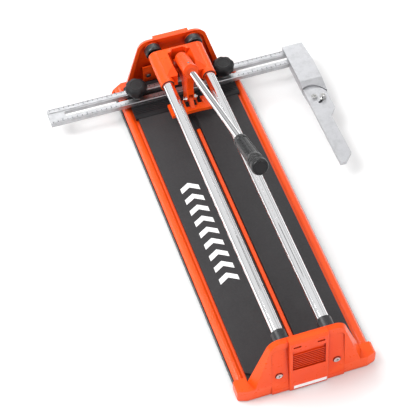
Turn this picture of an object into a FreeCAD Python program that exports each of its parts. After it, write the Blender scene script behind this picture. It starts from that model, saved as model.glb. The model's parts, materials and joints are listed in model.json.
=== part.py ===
import FreeCAD, Part
import os
import Sketcher

# Manual tile cutter with two chromed guide rails.
# Frame: origin on the bench under the middle of the base, +X to the right,
# +Y towards the ruler end, +Z up. Millimetres and degrees.
# The front end is at -Y, where the user stands.

os.makedirs("parts", exist_ok=True)
doc = FreeCAD.newDocument("TileCutter")

# ---------------------------------------------------------------- sizes
SIZES = {
    # end castings
    "end_inner": 378.0,        # inner face of an end casting, from the middle
    "end_wing": 398.0,         # outer face of its wings, at the skirt
    "end_wing_top": 386.0,     # outer face of its wings, at the top
    "end_box": 403.0,          # outer face of its middle box, at the skirt
    "end_box_top": 394.0,      # outer face of its middle box, near the top
    "end_bottom": 2.0,
    "end_top": 136.0,
    "end_half": 130.5,
    "end_block_top": 31.0,
    "end_block_depth": 10.0,
    "rear_block_top": 16.0,
    "wing_low_half": 107.0,
    "rear_low_half": 103.0,
    "wing_draft": -22.0,
    "wing_top_half": 67.5,
    "shoulder_radius": 26.0,
    "box_half": 36.5,
    "channel_half": 68.0,
    "channel_top": 118.0,
    "channel_low_face": 400.5,
    "channel_top_face": 384.0,
    "window_half": 30.5,
    "window_low": 59.0,
    "window_high": 111.0,
    "window_depth": 4.0,
    "rib_count": 8.0,
    "end_screw_x": 54.0,
    "end_screw_z": 48.0,
    "boss_radius": 15.0,
    "boss_length": 3.0,
    # base
    "base_end": 374.6,
    "tray_half": 127.5,
    "tray_bottom": 3.0,
    "tray_wall": 1.5,
    "tray_rim": 18.0,
    "ledge_inner": 100.5,
    "table_bottom": 25.0,
    "table_top": 28.0,
    "pad_top": 32.0,
    "pad_inner": 5.6,
    "pad_outer": 104.5,
    "pad_far": 276.5,
    "bar_top": 33.3,
    "bar_half": 4.2,
    "bar_far": 211.5,
    "rest_half": 109.5,
    "rest_front": 277.0,
    "rest_back": 365.5,
    "rest_top": 36.0,
    # guide rails
    "rail_x": 42.3,
    "rail_z": 116.2,
    "rail_radius": 11.0,
    "rail_end": 381.8,
    "rail_wall": 2.0,
    "fit": 0.08,
    # ruler and knobs
    "ruler_left": 275.0,
    "ruler_right": 262.0,
    "ruler_front": 308.0,
    "ruler_back": 348.0,
    "ruler_bottom": 36.4,
    "ruler_top": 46.4,
    "slot_half": 6.2,
    "slot_end": 243.0,
    "knob_x": 92.0,
    "knob_y": 328.0,
    "knob_bottom": 48.2,
    "knob_head": 59.0,
    "knob_top": 76.5,
    "knob_radius": 23.0,
    "stud_radius": 4.0,
    # side stop
    "stop_inner": 228.0,
    "stop_outer": 275.0,
    "stop_top": 53.0,
    "arm_bottom": 37.2,
    "arm_top": 45.0,
    "swivel_x": 243.0,
    "swivel_y": 206.0,
    "swivel_radius": 30.0,
    "lock_angle": -23.6,
    "lock_distance": 17.5,
    # carriage
    "car_front": 268.0,
    "car_back": 352.0,
    "sleeve_radius": 14.3,
    "bush_radius": 12.4,
    "bush_length": 20.0,
    "car_top": 141.0,
    "car_slot_half": 15.5,
    "car_slot_back": 338.0,
    "pivot_y": 322.0,
    "pivot_z": 114.0,
    "pivot_radius": 5.0,
    # lever
    "lever_boss": 10.0,
    "lever_half": 13.0,
    "socket_y": 250.0,
    "socket_z": 158.3,
    "lever_pitch": 20.6,
    "socket_radius": 14.0,
    "socket_length": 64.0,
    "tube_radius": 7.0,
    "tube_start": 62.0,
    "tube_reach": 408.0,
    "grip_start": 303.0,
    "grip_end": 417.0,
    "arm_half": 7.5,
    "fork_half": 4.6,
    # scoring wheel and breaker foot
    "wheel_y": 276.0,
    "wheel_z": 57.0,
    "wheel_radius": 11.0,
    "axle_radius": 2.0,
    "foot_pin_y": 262.0,
    "foot_pin_z": 73.0,
    "foot_pin_radius": 2.5,
    "foot_half": 45.0,
    "foot_front": 238.0,
    "foot_back": 271.0,
    "foot_bottom": 52.0,
    "foot_top": 60.0,
}

sheet = doc.addObject("Spreadsheet::Sheet", "Sizes")
for row, (alias, number) in enumerate(SIZES.items(), start=1):
    sheet.set(f"A{row}", alias)
    sheet.set(f"B{row}", str(number))
    sheet.setAlias(f"B{row}", alias)
doc.recompute()

nodes = []


def value(text):
    """Number that an expression on the sheet's cells stands for."""
    result = sheet.evalExpression(text)
    return float(getattr(result, "Value", result))


def cell(alias):
    return float(sheet.get(alias))


def full(text):
    """The same expression, as another object of the document writes it."""
    words = []
    word = ""
    for letter in text + " ":
        if letter.isalnum() or letter == "_":
            word += letter
        else:
            words.append("Sizes." + word if word in SIZES else word)
            words.append(letter)
            word = ""
    return "".join(words).strip()


def keep(item, name):
    """Mark an object as a finished sub-part under its node name."""
    item.Label = name
    nodes.append((name, item))
    return item


# ------------------------------------------------- helpers for part design
def new_body(name):
    return doc.addObject("PartDesign::Body", "Body_" + name)


def new_sketch(body, name, plane, offset="0"):
    """Sketch on an origin plane of its body, moved along the plane's normal."""
    sketch = body.newObject("Sketcher::SketchObject", name)
    for feature in body.Origin.OriginFeatures:
        if feature.Role == plane:
            sketch.AttachmentSupport = [(feature, "")]
    sketch.MapMode = "FlatFace"
    sketch.setExpression("AttachmentOffset.Base.z", full(offset))
    return sketch


def bind(sketch, kind, number, expression, *where):
    index = sketch.addConstraint(Sketcher.Constraint(kind, *where, number))
    sketch.setExpression(f"Constraints[{index}]", full(expression))


def outline(sketch, points):
    """Closed polygon; each corner is a pair of expressions."""
    spots = [FreeCAD.Vector(value(u), value(v), 0) for u, v in points]
    first = sketch.GeometryCount
    count = len(points)
    for index in range(count):
        segment = Part.LineSegment(spots[index], spots[(index + 1) % count])
        sketch.addGeometry(segment, False)
    for index in range(count):
        following = first + (index + 1) % count
        sketch.addConstraint(
            Sketcher.Constraint("Coincident", first + index, 2, following, 1))
    for index, (u, v) in enumerate(points):
        spot = spots[index]
        bind(sketch, "DistanceX", spot.x, u, -1, 1, first + index, 1)
        bind(sketch, "DistanceY", spot.y, v, -1, 1, first + index, 1)


def rectangle(sketch, u_low, u_high, v_low, v_high):
    outline(sketch, [(u_low, v_low), (u_high, v_low),
                     (u_high, v_high), (u_low, v_high)])


def mirrored(points):
    """An outline's right half, followed by its mirror image."""
    return points + [(f"-({u})", v) for u, v in reversed(points)]


def circle(sketch, u, v, radius):
    centre = FreeCAD.Vector(value(u), value(v), 0)
    index = sketch.addGeometry(
        Part.Circle(centre, FreeCAD.Vector(0, 0, 1), value(radius)), False)
    bind(sketch, "Radius", value(radius), radius, index)
    bind(sketch, "DistanceX", centre.x, u, -1, 1, index, 3)
    bind(sketch, "DistanceY", centre.y, v, -1, 1, index, 3)


def pad(body, sketch, length, name, both=False):
    feature = body.newObject("PartDesign::Pad", name)
    feature.Profile = sketch
    feature.setExpression("Length", full(length))
    feature.Midplane = both
    doc.recompute()
    return feature


def pocket(body, sketch, length, name, both=False, turned=False):
    """Pocket that must take something away."""
    before = body.Shape.Volume
    feature = body.newObject("PartDesign::Pocket", name)
    feature.Profile = sketch
    feature.setExpression("Length", full(length))
    feature.Midplane = both
    feature.Reversed = turned
    doc.recompute()
    if body.Shape.Volume > before - 0.01:
        raise RuntimeError(name + " cuts nothing")
    return feature


def revolve(body, sketch, axis, name):
    feature = body.newObject("PartDesign::Revolution", name)
    feature.Profile = sketch
    feature.ReferenceAxis = (sketch, [axis])
    feature.Angle = 360
    doc.recompute()
    return feature


def fillet(body, radius, name, chosen):
    """Round the edges whose middle point passes the given test."""
    shape = body.Shape
    picked = []
    for index, edge in enumerate(shape.Edges, start=1):
        middle = edge.valueAt((edge.FirstParameter + edge.LastParameter) / 2)
        if chosen(edge, middle):
            picked.append(f"Edge{index}")
    if not picked:
        raise RuntimeError(name + " finds no edges")
    base = body.Tip
    feature = body.newObject("PartDesign::Fillet", name)
    feature.Base = (base, picked)
    feature.setExpression("Radius", full(radius))
    doc.recompute()
    return feature


def along(edge, axis):
    """True for a straight edge that runs along X, Y or Z."""
    if len(edge.Vertexes) != 2:
        return False
    step = edge.Vertexes[1].Point - edge.Vertexes[0].Point
    parts = {"X": abs(step.x), "Y": abs(step.y), "Z": abs(step.z)}
    main = parts.pop(axis)
    return main > 0.5 and max(parts.values()) < 0.01


# ---------------------------------------------------- helpers for primitives
def place(item, spot, turn=(0, 0, 0)):
    """Bind an object's place; turn is (yaw, pitch, roll) in degrees."""
    item.Placement.Rotation = FreeCAD.Rotation(*turn)
    for letter, text in zip("xyz", spot):
        item.setExpression("Placement.Base." + letter, full(text))


def box(name, x_span, y_span, z_span):
    item = doc.addObject("Part::Box", name)
    spans = (x_span, y_span, z_span)
    for prop, (low, high) in zip(("Length", "Width", "Height"), spans):
        item.setExpression(prop, full(f"({high}) - ({low})"))
    place(item, [low for low, high in spans])
    return item


TURNS = {"X": (0, 90, 0), "Y": (0, 0, -90), "Z": (0, 0, 0), "-Y": (0, 0, 90)}


def rod(name, radius, length, spot, axis):
    item = doc.addObject("Part::Cylinder", name)
    item.setExpression("Radius", full(radius))
    item.setExpression("Height", full(length))
    place(item, spot, TURNS[axis])
    return item


def hexagon(name, radius, length, spot, axis):
    item = doc.addObject("Part::Prism", name)
    item.Polygon = 6
    item.setExpression("Circumradius", full(radius))
    item.setExpression("Height", full(length))
    place(item, spot, TURNS[axis])
    return item


def joined(name, items):
    item = doc.addObject("Part::MultiFuse", name)
    item.Shapes = items
    return item


def without(name, base, tool):
    item = doc.addObject("Part::Cut", name)
    item.Base = base
    item.Tool = tool
    return item


def group(name, items):
    """Separate solids that share a node."""
    item = doc.addObject("Part::Compound", name)
    item.Links = items
    return keep(item, name)


SIDES = (("left", -1), ("right", 1))
HALF_TURN = FreeCAD.Rotation(FreeCAD.Vector(0, 0, 1), 180)


# ---------------------------------------------------------------- end castings
def casting_core(name, crest, low_half):
    """The hollow behind a casting: an even wall, with posts left for the fasteners."""
    front = new_body(name + "_core_front")
    view = new_sketch(front, name + "_core_view", "XZ_Plane", "end_inner - 1")
    foot_half = f"({low_half} - 0.34 * (34 - {crest}) - 9)"
    outline(view, mirrored([(foot_half, "end_bottom + 8"), (foot_half, "34"),
                            ("63", "end_top - 9")]))
    pad(front, view, "20", name + "_core_view_pad")
    fillet(front, "20", name + "_core_shoulders", lambda edge, middle: (
        along(edge, "Y") and middle.z > cell("end_top") - 10))
    side = new_body(name + "_core_side")
    profile = new_sketch(side, name + "_core_profile", "YZ_Plane")
    outline(profile, [
        ("-end_inner + 1", "end_bottom + 8"), ("-end_wing + 3.4", "end_bottom + 8"),
        ("-end_wing + 3.4", "end_block_top - 2"), ("-channel_top_face + 3.2", "channel_top"),
        ("-channel_top_face + 3.2", "end_top - 9"), ("-end_inner + 1", "end_top - 9")])
    pad(side, profile, "2 * end_half", name + "_core_side_pad", both=True)
    core = doc.addObject("Part::MultiCommon", name + "_core")
    core.Shapes = [front, side]
    posts = []
    for hand, way in SIDES:
        posts.append(rod(f"{name}_{hand}_boss_post", "boss_radius", "30",
                         (f"{way} * rail_x", "-end_inner - 25", "rail_z"), "Y"))
        posts.append(rod(f"{name}_{hand}_screw_post", "8", "30",
                         (f"{way} * end_screw_x", "-end_inner - 25", "end_screw_z"), "Y"))
    deeper = box(name + "_box_core", ("-box_half + 3.5", "box_half - 3.5"),
                 ("-end_box_top + 6.5", "-end_inner + 1"), ("end_bottom + 8", "rail_z - 8"))
    return without(name + "_core_tool", joined(name + "_core_whole", [core, deeper]),
                   joined(name + "_posts", posts))


def end_casting(name, turned):
    """Cast end: leaning wings, a middle box with a ribbed window, corner blocks."""
    body = new_body(name)
    crest = "rear_block_top" if turned else "end_block_top"
    low_half = "rear_low_half" if turned else "wing_low_half"
    bar = new_sketch(body, name + "_bar", "XZ_Plane", "end_inner")
    outline(bar, mirrored([("end_half - 2", "end_bottom"), ("end_half", "end_bottom + 4"),
                           ("end_half", crest + " - 4"), ("end_half - 4", crest)]))
    pad(body, bar, "end_wing - end_inner", name + "_bar_pad")
    # The wings' edges draw in towards the outer face; their foot is inside the bar.
    wings = new_sketch(body, name + "_wing_view", "XZ_Plane", "end_inner")
    outline(wings, mirrored([(low_half, crest + " - 14"), (low_half, crest),
                             ("wing_top_half", "end_top")]))
    plate = pad(body, wings, "end_wing - end_inner", name + "_plate")
    plate.setExpression("TaperAngle", "Sizes.wing_draft")
    doc.recompute()
    fillet(body, "shoulder_radius", name + "_shoulders", lambda edge, middle: (
        middle.z > cell("end_top") - 5 and abs(middle.x) > cell("wing_top_half") - 12
        and edge.Length < 30))

    corner = new_sketch(body, name + "_corner", "XZ_Plane", "end_inner - end_block_depth")
    for sign in ("", "-"):
        wall = [(f"{sign}(tray_half + 0.3)", "end_bottom"), (f"{sign}(end_half - 2)", "end_bottom"),
                (f"{sign}end_half", "end_bottom + 4"), (f"{sign}end_half", crest + " - 4")]
        if turned:
            wall += [(f"{sign}(end_half - 1)", crest + " - 2"),
                     (f"{sign}(tray_half + 0.3)", crest + " - 2")]
        else:
            wall += [(f"{sign}(end_half - 4)", crest), (f"{sign}wing_low_half", crest),
                     (f"{sign}wing_low_half", crest + " - 2"),
                     (f"{sign}(tray_half + 0.3)", crest + " - 2")]
        outline(corner, wall)
    pad(body, corner, "end_block_depth + 1", name + "_blocks")

    lean = new_sketch(body, name + "_lean", "YZ_Plane")
    outline(lean, [("-end_wing", crest + " - 2"), ("-end_wing_top", "end_top"),
                   ("-end_wing_top", "end_top + 9"), ("-end_box - 9", "end_top + 9"),
                   ("-end_box - 9", crest + " - 2")])
    pocket(body, lean, "3 * end_half", name + "_wings", both=True)

    skirt = new_sketch(body, name + "_skirt", "YZ_Plane")
    rectangle(skirt, "-channel_low_face", "-end_inner", "end_bottom", crest)
    pad(body, skirt, "2 * channel_half", name + "_bulge", both=True)
    channel = new_sketch(body, name + "_channel", "YZ_Plane")
    outline(channel, [("-channel_low_face", "end_bottom + 10"),
                      ("-channel_top_face", "channel_top"),
                      ("-end_box - 9", "channel_top"), ("-end_box - 9", "end_bottom + 10")])
    pocket(body, channel, "2 * channel_half", name + "_channels", both=True)
    fillet(body, "11", name + "_coves", lambda edge, middle: (
        along(edge, "Y") and abs(middle.z - cell("channel_top")) < 0.1
        and abs(abs(middle.x) - cell("channel_half")) < 0.1))

    middle = new_sketch(body, name + "_middle", "YZ_Plane")
    outline(middle, [("-end_inner", "end_bottom"), ("-end_box", "end_bottom"),
                     ("-end_box", "end_bottom + 15"), ("-end_box_top", "end_top - 5"),
                     ("-end_box_top + 4", "end_top"), ("-end_inner", "end_top")])
    pad(body, middle, "2 * box_half", name + "_box", both=True)
    lean_rate = value("(end_box - end_box_top) / (end_top - end_bottom - 20)")
    fillet(body, "3", name + "_box_corners", lambda edge, spot: (
        abs(abs(spot.x) - cell("box_half")) < 0.1 and spot.z > cell("end_bottom") + 1
        and spot.y < 1 - cell("end_box") + lean_rate * max(0, spot.z - 17)))

    # The window's floor follows the leaning face of the middle box.
    slope = "(end_box - end_box_top) / (end_top - end_bottom - 20)"
    face = "(-end_box + ({z} - end_bottom - 15) * " + slope + ")"
    window = new_sketch(body, name + "_window", "YZ_Plane")
    outline(window, [
        (face.format(z="window_low") + " + window_depth", "window_low"),
        (face.format(z="window_high") + " + window_depth", "window_high"),
        ("-end_box - 9", "window_high"), ("-end_box - 9", "window_low")])
    pocket(body, window, "2 * window_half", name + "_window_cut", both=True)
    ribs = new_sketch(body, name + "_ribs", "YZ_Plane")
    for number in range(int(cell("rib_count"))):
        low = f"(window_low + 2 + 5 * {number})"
        floor = face.format(z=low)
        outline(ribs, [(floor + " + window_depth + 1", low),
                       (floor + " + 1.8", low + " + 0.6"),
                       (floor + " + 1.8", low + " + 2.2"),
                       (floor + " + window_depth + 1", low + " + 2.8")])
    pad(body, ribs, "2 * window_half", name + "_rib_row", both=True)

    slots = new_sketch(body, name + "_slots", "XZ_Plane", "end_box")
    for sign in ("", "-"):
        rectangle(slots, f"{sign}15", f"{sign}29", "window_high + 8", "window_high + 11.5")
    pocket(body, slots, "14", name + "_slot_cut")

    bosses = new_sketch(body, name + "_bosses", "XZ_Plane", "end_inner - boss_length")
    for sign in ("", "-"):
        circle(bosses, f"{sign}rail_x", "rail_z", "boss_radius")
    pad(body, bosses, "boss_length + 4", name + "_boss_pair")
    bores = new_sketch(body, name + "_bores", "XZ_Plane", "end_inner - boss_length")
    for sign in ("", "-"):
        circle(bores, f"{sign}rail_x", "rail_z", "rail_radius + fit")
    pocket(body, bores, "rail_end - end_inner + boss_length + 0.2", name + "_bore_pair",
           turned=True)

    seats = new_sketch(body, name + "_seats", "XZ_Plane", "end_box + 5")
    for sign in ("", "-"):
        circle(seats, f"{sign}end_screw_x", "end_screw_z", "7.5")
    pocket(body, seats, "end_box + 5 - 393", name + "_seat_cut")
    holes = new_sketch(body, name + "_holes", "XZ_Plane", "end_box + 5")
    for sign in ("", "-"):
        circle(holes, f"{sign}end_screw_x", "end_screw_z", "3.2")
    pocket(body, holes, "60", name + "_hole_cut")

    plan = new_sketch(body, name + "_plan", "XY_Plane")
    across, back = ("24", "16") if turned else ("17", "6")
    for sign in ("", "-"):
        outline(plan, [(f"{sign}(end_half + 1)", "-end_wing + " + back),
                       (f"{sign}(end_half + 1)", "-end_box - 5"),
                       (f"{sign}(end_half - {across})", "-end_box - 5"),
                       (f"{sign}(end_half - {across})", "-end_wing")])
    pocket(body, plan, crest + " * 3", name + "_plan_cut", both=True)
    feet = new_sketch(body, name + "_feet", "XY_Plane")
    for sign in ("", "-"):
        circle(feet, f"{sign}108", "-end_inner - 10", "7.1")
    pocket(body, feet, "end_bottom + 2", name + "_foot_seats", turned=True)
    if not turned:
        label = new_sketch(body, name + "_label", "XZ_Plane", "end_box + 1")
        rectangle(label, "-28.2", "34.2", "4.8", "14.2")
        pocket(body, label, "1.6", name + "_label_seat")
    cored = without(name + "_cored", body, casting_core(name, crest, low_half))
    if turned:
        cored.Placement = FreeCAD.Placement(FreeCAD.Vector(0, 0, 0), HALF_TURN)
    keep(cored, name)


# ------------------------------------------------------------------------ base
def base_tray():
    body = new_body("base_tray")
    section = new_sketch(body, "tray_section", "XZ_Plane")
    outline(section, mirrored([
        ("tray_half", "tray_bottom"), ("tray_half", "tray_rim"),
        ("tray_half - tray_wall", "tray_rim"),
        ("tray_half - tray_wall", "tray_bottom + tray_wall")]))
    pad(body, section, "2 * base_end", "tray_length", both=True)
    fillet(body, "1.5", "tray_bends", lambda edge, middle: (
        along(edge, "Y") and middle.z < cell("tray_bottom") + 0.1))
    holes = new_sketch(body, "tray_holes", "XY_Plane")
    for x in ("40", "-40"):
        for y in ("(base_end - 15)", "-(base_end - 15)"):
            circle(holes, x, y, "2.7")
    pocket(body, holes, "20", "tray_hole_cut", both=True)
    keep(body, "base_tray")


def side_rail(name, sign):
    """Painted steel side section: a rounded crest outside, a ledge inside."""
    body = new_body(name)
    section = new_sketch(body, name + "_section", "XZ_Plane")
    low = "tray_bottom + tray_wall"
    edge = "tray_half - tray_wall - 0.1"
    outline(section, [
        ("ledge_inner", low), (edge, low), (edge, "table_bottom - 3"),
        ("tray_half - 5.5", "table_bottom + 2.2"), ("tray_half - 9", "table_bottom + 3.6"),
        ("tray_half - 13.5", "table_bottom + 2.6"), ("tray_half - 18", "table_bottom"),
        ("ledge_inner", "table_bottom")])
    outline(section, [
        ("ledge_inner + 2", low + " + 2"), (edge + " - 2", low + " + 2"),
        (edge + " - 2", "table_bottom - 4"), ("ledge_inner + 2", "table_bottom - 2.5")])
    pad(body, section, "2 * base_end", name + "_length", both=True)
    if sign < 0:
        body.Placement = FreeCAD.Placement(FreeCAD.Vector(0, 0, 0), HALF_TURN)
    keep(body, name)


def breaking_bar():
    """Extruded middle beam, with the rib that the tile breaks over."""
    body = new_body("breaking_bar")
    low = "tray_bottom + tray_wall"
    beam = new_sketch(body, "beam_section", "XZ_Plane")
    outline(beam, mirrored([
        ("11", low), ("11", low + " + 2"), ("2", low + " + 2"),
        ("2", "table_bottom - 3"), ("13", "table_bottom - 3"), ("13", "table_bottom")]))
    pad(body, beam, "2 * base_end", "beam_length", both=True)
    rib = new_sketch(body, "rib_section", "XZ_Plane", "-bar_far")
    outline(rib, mirrored([("bar_half", "table_bottom - 1"), ("bar_half", "bar_top - 3"),
                           ("bar_half - 0.8", "bar_top - 1.2"), ("bar_half - 2.4", "bar_top")]))
    pad(body, rib, "bar_far + base_end", "rib_length")
    keep(body, "breaking_bar")


def table_and_pad(side, sign):
    plate = box(f"{side}_plate_blank", ("pad_inner", "pad_outer"), ("-base_end", "base_end"),
                ("table_bottom", "table_top"))
    hole = rod(f"{side}_plate_hole", "stud_radius + 0.2", "20", ("knob_x", "knob_y", "15"), "Z")
    body = new_body(f"{side}_pad")
    shape = new_sketch(body, f"{side}_pad_plan", "XY_Plane", "table_top")
    outline(shape, [("pad_inner", "-base_end + 8"), ("pad_outer - 12", "-base_end + 8"),
                    ("pad_outer", "-base_end + 16"), ("pad_outer", "pad_far"),
                    ("pad_inner", "pad_far")])
    pad(body, shape, "pad_top - table_top", f"{side}_pad_height")
    fillet(body, "1.2", f"{side}_pad_rim", lambda edge, middle: (
        middle.z > cell("pad_top") - 0.01 and middle.y < cell("pad_far") - 1))
    table = without(f"{side}_table", plate, hole)
    if sign < 0:
        # The left half is the right half turned over about the Y axis, so its
        # holes stay beside the knob studs.
        mirror = doc.addObject("Part::Mirroring", "left_table_mirror")
        mirror.Source = table
        mirror.Normal = FreeCAD.Vector(1, 0, 0)
        pad_mirror = doc.addObject("Part::Mirroring", "left_pad_mirror")
        pad_mirror.Source = body
        pad_mirror.Normal = FreeCAD.Vector(1, 0, 0)
        keep(mirror, f"{side}_table_plate")
        keep(pad_mirror, f"{side}_pad")
    else:
        keep(table, f"{side}_table_plate")
        keep(body, f"{side}_pad")


def rear_rest_plate():
    """Black moulded rest under the ruler, with a tongue between the pads."""
    body = new_body("rear_rest_plate")
    side_view = new_sketch(body, "rest_section", "YZ_Plane")
    outline(side_view, [("rest_front", "table_top"), ("rest_back", "table_top"),
                        ("rest_back", "rest_top"), ("rest_front + 4", "rest_top"),
                        ("rest_front", "rest_top - 3")])
    pad(body, side_view, "2 * rest_half", "rest_width", both=True)
    tongue = new_sketch(body, "rest_tongue", "XZ_Plane", "-rest_front - 1")
    outline(tongue, mirrored([("pad_inner - 0.3", "table_top"),
                              ("pad_inner - 0.3", "bar_top - 1"),
                              ("pad_inner - 1.3", "bar_top")]))
    pad(body, tongue, "rest_front + 1 - bar_far - 0.5", "rest_tongue_length")
    grooves = new_sketch(body, "rest_grooves", "YZ_Plane")
    for number in range(5):
        start = f"(rest_front + 9 + 4.4 * {number})"
        rectangle(grooves, start, start + " + 1.6", "rest_top - 1", "rest_top + 1")
    pocket(body, grooves, "2 * rest_half + 2", "rest_groove_cut", both=True)
    holes = new_sketch(body, "rest_holes", "XY_Plane", "table_top - 5")
    for sign in ("", "-"):
        circle(holes, f"{sign}knob_x", "knob_y", "stud_radius + 0.2")
    pocket(body, holes, "30", "rest_hole_cut", turned=True)
    keep(body, "rear_rest_plate")


def bracket(name, sign):
    """Steel angle that ties an end casting to the tray."""
    plate_y = ("base_end", "end_inner") if sign > 0 else ("-end_inner", "-base_end")
    foot_y = ("base_end - 30", "base_end + 1") if sign > 0 else ("-base_end - 1", "-base_end + 30")
    low = "tray_bottom + tray_wall"
    parts = [box(name + "_upright", ("-64", "64"), plate_y, (low, "68"))]
    tools = []
    for side, way in SIDES:
        span = ("16", "64") if way > 0 else ("-64", "-16")
        parts.append(box(f"{name}_{side}_foot", span, foot_y, (low, low + " + 3")))
        tools.append(rod(f"{name}_{side}_hole", "3.2", "20",
                         (f"{way} * end_screw_x", f"{sign} * base_end - 10", "end_screw_z"), "Y"))
        tools.append(rod(f"{name}_{side}_foot_hole", "2.7", "20",
                         (f"{way} * 40", f"{sign} * (base_end - 15)", "0"), "Z"))
    solid = joined(name + "_solid", parts)
    holes = joined(name + "_holes", tools)
    keep(without(name + "_cut", solid, holes), name)


def end_fasteners():
    """Pan-head screws through both castings, with nuts inside."""
    screws = []
    nuts = []
    for end, sign, axis in (("front", -1, "Y"), ("rear", 1, "-Y")):
        for side, way in SIDES:
            tag = f"{end}_{side}"
            x = f"{way} * end_screw_x"
            head = rod(tag + "_head", "6", "3.6", (x, f"{sign} * 396.6", "end_screw_z"), axis)
            shank = rod(tag + "_shank", "3", "28", (x, f"{sign} * 396.6", "end_screw_z"), axis)
            slots = [box(f"{tag}_cross_flat", (f"{x} - 3.4", f"{x} + 3.4"),
                         (f"{sign} * 396 - 1.6", f"{sign} * 396 + 1.6"),
                         ("end_screw_z - 0.6", "end_screw_z + 0.6")),
                     box(f"{tag}_cross_tall", (f"{x} - 0.6", f"{x} + 0.6"),
                         (f"{sign} * 396 - 1.6", f"{sign} * 396 + 1.6"),
                         ("end_screw_z - 3.4", "end_screw_z + 3.4"))]
            solid = joined(tag + "_solid", [head, shank])
            screws.append(without(tag + "_screw", solid, joined(tag + "_cross", slots)))
            nut = hexagon(tag + "_nut_blank", "5.8", "5",
                          (x, f"{sign} * base_end", "end_screw_z"), axis)
            hole = rod(tag + "_nut_hole", "3", "9",
                       (x, f"{sign} * (base_end + 2)", "end_screw_z"), axis)
            nuts.append(without(tag + "_nut", nut, hole))
    group("end_screws", screws)
    group("end_nuts", nuts)


def tray_screws():
    screws = []
    low = "tray_bottom + tray_wall"
    for end, sign in (("front", -1), ("rear", 1)):
        for side, way in SIDES:
            tag = f"tray_{end}_{side}"
            x = f"{way} * 40"
            y = f"{sign} * (base_end - 15)"
            shank = rod(tag + "_shank", "2.5", "7", (x, y, "tray_bottom"), "Z")
            head = rod(tag + "_head", "4.8", "3", (x, y, low + " + 3"), "Z")
            screws.append(joined(tag + "_screw", [shank, head]))
    group("tray_screws", screws)


def rubber_feet():
    feet = []
    for end, sign in (("front", -1), ("rear", 1)):
        for side, way in SIDES:
            spot = (f"{way} * 108", f"{sign} * (end_inner + 10)", "0")
            feet.append(rod(f"foot_{end}_{side}", "7", "end_bottom + 2", spot, "Z"))
    group("rubber_feet", feet)


def front_label():
    keep(box("label_blank", ("-28", "34"), ("-end_box + 0.1", "-end_box + 0.6"), ("5", "14")),
         "front_label")


# ----------------------------------------------------------------- guide rails
def guide_rail(side, sign):
    """Chromed steel tube, seated in both end castings."""
    tube = rod(f"{side}_rail_outer", "rail_radius", "2 * rail_end",
               (f"{sign} * rail_x", "-rail_end", "rail_z"), "Y")
    hole = rod(f"{side}_rail_hole", "rail_radius - rail_wall", "2 * rail_end + 2",
               (f"{sign} * rail_x", "-rail_end - 1", "rail_z"), "Y")
    keep(without(f"{side}_rail_cut", tube, hole), f"{side}_guide_rail")


def bumper(name, x_sign, y_sign, points):
    """Rubber stop on a rail, turned about it, against the casting's boss."""
    body = new_body(name)
    profile = new_sketch(body, name + "_profile", "XY_Plane")
    outline(profile, [("rail_radius + fit", "end_inner - boss_length - 0.1")] + points)
    revolve(body, profile, "V_Axis", name + "_turned")
    if y_sign < 0:
        body.Placement.Rotation = HALF_TURN
    body.setExpression("Placement.Base.x", full(f"{x_sign} * rail_x"))
    body.setExpression("Placement.Base.z", full("rail_z"))
    keep(body, name)


# A plain sleeve at the front; a round-lipped cup at the back.
SLEEVE = [("13.8", "end_inner - boss_length - 0.1"), ("13.8", "353"), ("13", "352"),
          ("rail_radius + fit", "352")]
CUP = [("15.6", "end_inner - boss_length - 0.1"), ("17", "end_inner - boss_length - 2"),
       ("17", "361.5"), ("16.3", "359"), ("15", "358"), ("13.8", "358.6"), ("13.2", "360"),
       ("13.2", "363"), ("rail_radius + fit", "363")]


# ------------------------------------------------------------- ruler and knobs
def ruler_bar():
    """Aluminium ruler extrusion with a long slot for the knob studs."""
    body = new_body("ruler_bar")
    section = new_sketch(body, "ruler_section", "YZ_Plane", "-ruler_left")
    middle = "(ruler_front + ruler_back) / 2"
    outline(section, [
        ("ruler_front", "ruler_bottom"), ("ruler_back", "ruler_bottom"),
        ("ruler_back", "ruler_top - 1"), ("ruler_back - 1", "ruler_top"),
        (middle + " + 9.2", "ruler_top"), (middle + " + 8.4", "ruler_top - 1.2"),
        (middle + " - 8.4", "ruler_top - 1.2"), (middle + " - 9.2", "ruler_top"),
        ("ruler_front + 1", "ruler_top"), ("ruler_front", "ruler_top - 1")])
    pad(body, section, "ruler_left + ruler_right", "ruler_length")
    slot = new_sketch(body, "ruler_slot", "XY_Plane", "ruler_bottom - 5")
    rectangle(slot, "-slot_end", "slot_end", middle + " - slot_half", middle + " + slot_half")
    pocket(body, slot, "30", "ruler_slot_cut", turned=True)
    fillet(body, "slot_half - 0.1", "ruler_slot_ends", lambda edge, spot: (
        along(edge, "Z") and abs(abs(spot.x) - cell("slot_end")) < 0.1))
    keep(body, "ruler_bar")


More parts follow.
